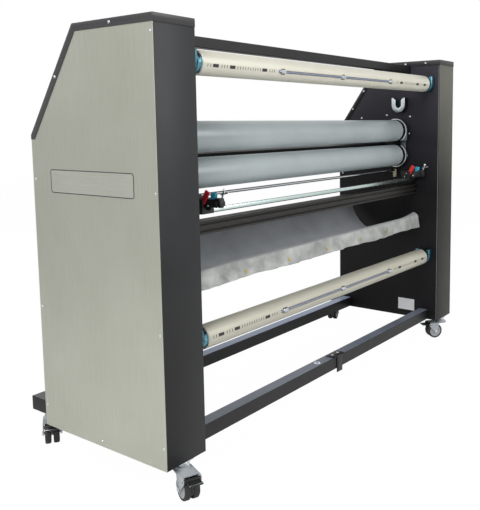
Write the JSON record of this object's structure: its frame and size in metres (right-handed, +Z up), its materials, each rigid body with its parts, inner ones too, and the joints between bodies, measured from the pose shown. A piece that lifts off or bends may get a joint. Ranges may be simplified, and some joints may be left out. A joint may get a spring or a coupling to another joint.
{
  "type": "roll laminator",
  "caption": "Wide-format roll laminator: two cabinets on casters carry the nip rollers, film shafts, slitters and a fabric catch tray.",
  "frame": {"origin": "on the floor, under the middle of the overall box", "axes": "+X along the rollers to the operator panel's cabinet, +Y to the feed table side, +Z up"},
  "size_m": [2.044, 0.8248, 1.425],
  "materials": {
    "side_panel_metal": "brushed, satin",
    "casing_paint": "dark grey satin powder coat",
    "cap_metal": "brushed, satin",
    "frame_paint": "black powder coat",
    "black_steel": "black satin paint",
    "zinc_steel": "zinc plated",
    "screw_steel": "bright zinc",
    "dark_steel": "machined",
    "shaft_aluminium": "champagne anodised",
    "beam_aluminium": "black anodised",
    "rail_aluminium": "clear anodised",
    "grip_steel": "blued steel",
    "roller_rubber": "smooth grey silicone",
    "chrome_rod": "polished",
    "tray_fabric": "grey coated fabric",
    "black_plastic": "fine matt",
    "red_plastic": "gloss",
    "panel_plastic": "matt overlay",
    "table_paint": "grey powder coat",
    "wheel_rubber": "black tread",
    "motor_paint": "grey enamel"
  },
  "bodies": {
    "machine_frame": {"left_frame_plate": "frame_paint", "right_frame_plate": "frame_paint", "left_casing": "casing_paint", "right_casing": "casing_paint", "left_side_panel": "side_panel_metal", "right_side_panel": "side_panel_metal", "left_top_cap": "cap_metal", "right_top_cap": "cap_metal", "base_feet": "frame_paint", "panel_screws": "screw_steel", "name_plate": "rail_aluminium", "top_beam": "black_steel", "slitter_beam": "beam_aluminium", "front_lower_beam": "black_steel", "rear_lower_beam": "black_steel", "beam_clamp": "black_steel", "lower_bearing_blocks": "zinc_steel", "lift_cylinders": "rail_aluminium", "shaft_saddles": "zinc_steel", "guide_rod": "chrome_rod", "slitter_rail": "rail_aluminium", "catch_sheet": "tray_fabric", "tray_bars": "dark_steel", "table_brackets": "black_steel", "control_panel": "panel_plastic", "gear_motor": "motor_paint", "shaft_drives": "motor_paint", "power_inlet": "black_plastic", "caster_mounts": "zinc_steel"},
    "upper_carrier": {"upper_bearing_blocks": "zinc_steel"},
    "upper_roller": {"upper_roller_core": "dark_steel", "upper_roller_sleeve": "roller_rubber"},
    "lower_roller": {"lower_roller_core": "dark_steel", "lower_roller_sleeve": "roller_rubber"},
    "supply_shaft": {"supply_shaft_tube": "shaft_aluminium", "supply_shaft_hubs": "zinc_steel"},
    "supply_grip": {"supply_grip_bar": "grip_steel"},
    "take_up_shaft": {"take_up_shaft_tube": "shaft_aluminium", "take_up_shaft_hubs": "zinc_steel"},
    "take_up_grip": {"take_up_grip_bar": "grip_steel"},
    "left_knife": {"left_knife_carriage": "black_plastic"},
    "left_knife_clamp": {"left_knife_knob": "black_plastic"},
    "right_knife": {"right_knife_carriage": "black_plastic"},
    "right_knife_clamp": {"right_knife_knob": "black_plastic"},
    "table": {"feed_table": "table_paint"},
    "stop_button": {"emergency_stop": "red_plastic"},
    "speed_dial": {"speed_knob": "black_plastic"},
    "direction_selector": {"direction_switch": "black_plastic"},
    "rear_left_fork": {"rear_left_caster_fork": "zinc_steel"},
    "rear_left_wheel": {"rear_left_caster_wheel": "wheel_rubber"},
    "rear_left_brake": {"rear_left_brake_pedal": "black_steel"},
    "rear_right_fork": {"rear_right_caster_fork": "zinc_steel"},
    "rear_right_wheel": {"rear_right_caster_wheel": "wheel_rubber"},
    "rear_right_brake": {"rear_right_brake_pedal": "black_steel"},
    "front_left_fork": {"front_left_caster_fork": "zinc_steel"},
    "front_left_wheel": {"front_left_caster_wheel": "wheel_rubber"},
    "front_left_brake": {"front_left_brake_pedal": "black_steel"},
    "front_right_fork": {"front_right_caster_fork": "zinc_steel"},
    "front_right_wheel": {"front_right_caster_wheel": "wheel_rubber"},
    "front_right_brake": {"front_right_brake_pedal": "black_steel"}
  },
  "joints": [
    {"name": "nip_lift", "type": "slide", "parent": "machine_frame", "child": "upper_carrier", "axis": [0, 0, 1], "range_m": [-0.0177, 0.01]},
    {"name": "upper_roller_turn", "type": "hinge", "parent": "upper_carrier", "child": "upper_roller", "pos_m": [0, -0.105, 1.0775], "axis": [1, 0, 0], "continuous": true},
    {"name": "lower_roller_turn", "type": "hinge", "parent": "machine_frame", "child": "lower_roller", "pos_m": [0, -0.105, 0.9525], "axis": [1, 0, 0], "continuous": true},
    {"name": "supply_shaft_turn", "type": "hinge", "parent": "machine_frame", "child": "supply_shaft", "pos_m": [0, -0.262, 1.307], "axis": [1, 0, 0], "continuous": true},
    {"name": "supply_grip_rock", "type": "hinge", "parent": "supply_shaft", "child": "supply_grip", "pos_m": [0, -0.262, 1.307], "axis": [1, 0, 0], "range_deg": [-3, 3]},
    {"name": "take_up_shaft_turn", "type": "hinge", "parent": "machine_frame", "child": "take_up_shaft", "pos_m": [0, -0.258, 0.4414], "axis": [1, 0, 0], "continuous": true},
    {"name": "take_up_grip_rock", "type": "hinge", "parent": "take_up_shaft", "child": "take_up_grip", "pos_m": [0, -0.258, 0.4414], "axis": [1, 0, 0], "range_deg": [-3, 3]},
    {"name": "left_knife_slide", "type": "slide", "parent": "machine_frame", "child": "left_knife", "axis": [1, 0, 0], "range_m": [-0.14, 0.64]},
    {"name": "left_knife_clamp_turn", "type": "hinge", "parent": "left_knife", "child": "left_knife_clamp", "pos_m": [-0.683, -0.1786, 0.861], "axis": [0, 1, 0], "range_deg": [-45, 360]},
    {"name": "right_knife_slide", "type": "slide", "parent": "machine_frame", "child": "right_knife", "axis": [1, 0, 0], "range_m": [-0.77, 0.013]},
    {"name": "right_knife_clamp_turn", "type": "hinge", "parent": "right_knife", "child": "right_knife_clamp", "pos_m": [0.812, -0.1786, 0.861], "axis": [0, 1, 0], "range_deg": [-45, 360]},
    {"name": "table_tilt", "type": "hinge", "parent": "machine_frame", "child": "table", "pos_m": [0, -0.0036, 0.977], "axis": [1, 0, 0], "range_deg": [0, 80]},
    {"name": "emergency_stop_press", "type": "slide", "parent": "machine_frame", "child": "stop_button", "axis": [0, -0.8164, -0.5775], "range_m": [0, 0.005], "stiffness_N_per_m": 1200, "springref_m": -0.001},
    {"name": "speed_knob_turn", "type": "hinge", "parent": "machine_frame", "child": "speed_dial", "pos_m": [0.9475, 0.15256, 1.24526], "axis": [0, 0.8164, 0.5775], "range_deg": [-135, 135]},
    {"name": "direction_switch_turn", "type": "hinge", "parent": "machine_frame", "child": "direction_selector", "pos_m": [0.9475, 0.11502, 1.29832], "axis": [0, 0.8164, 0.5775], "range_deg": [-45, 45]},
    {"name": "rear_left_swivel", "type": "hinge", "parent": "machine_frame", "child": "rear_left_fork", "pos_m": [-0.9375, -0.3076, 0.081], "axis": [0, 0, 1], "continuous": true},
    {"name": "rear_left_roll", "type": "hinge", "parent": "rear_left_fork", "child": "rear_left_wheel", "pos_m": [-0.95173, -0.34283, 0.0375], "axis": [0.9272, -0.3746, 0], "continuous": true},
    {"name": "rear_left_brake_press", "type": "hinge", "parent": "rear_left_fork", "child": "rear_left_brake", "pos_m": [-0.96297, -0.37065, 0.071], "axis": [0.9272, -0.3746, 0], "range_deg": [0, 15]},
    {"name": "rear_right_swivel", "type": "hinge", "parent": "machine_frame", "child": "rear_right_fork", "pos_m": [0.9375, -0.3076, 0.081], "axis": [0, 0, 1], "continuous": true},
    {"name": "rear_right_roll", "type": "hinge", "parent": "rear_right_fork", "child": "rear_right_wheel", "pos_m": [0.90797, -0.28369, 0.0375], "axis": [-0.6293, -0.7771, 0], "continuous": true},
    {"name": "rear_right_brake_press", "type": "hinge", "parent": "rear_right_fork", "child": "rear_right_brake", "pos_m": [0.88465, -0.26481, 0.071], "axis": [-0.6293, -0.7771, 0], "range_deg": [0, 15]},
    {"name": "front_left_swivel", "type": "hinge", "parent": "machine_frame", "child": "front_left_fork", "pos_m": [-0.9375, 0.3524, 0.081], "axis": [0, 0, 1], "continuous": true},
    {"name": "front_left_roll", "type": "hinge", "parent": "front_left_fork", "child": "front_left_wheel", "pos_m": [-0.9593, 0.32127, 0.0375], "axis": [0.8192, -0.5736, 0], "continuous": true},
    {"name": "front_left_brake_press", "type": "hinge", "parent": "front_left_fork", "child": "front_left_brake", "pos_m": [-0.9765, 0.2967, 0.071], "axis": [0.8192, -0.5736, 0], "range_deg": [0, 15]},
    {"name": "front_right_swivel", "type": "hinge", "parent": "machine_frame", "child": "front_right_fork", "pos_m": [0.9375, 0.3524, 0.081], "axis": [0, 0, 1], "continuous": true},
    {"name": "front_right_roll", "type": "hinge", "parent": "front_right_fork", "child": "front_right_wheel", "pos_m": [0.90179, 0.3394, 0.0375], "axis": [0.342, -0.9397, 0], "continuous": true},
    {"name": "front_right_brake_press", "type": "hinge", "parent": "front_right_fork", "child": "front_right_brake", "pos_m": [0.8736, 0.32914, 0.071], "axis": [0.342, -0.9397, 0], "range_deg": [0, 15]}
  ]
}
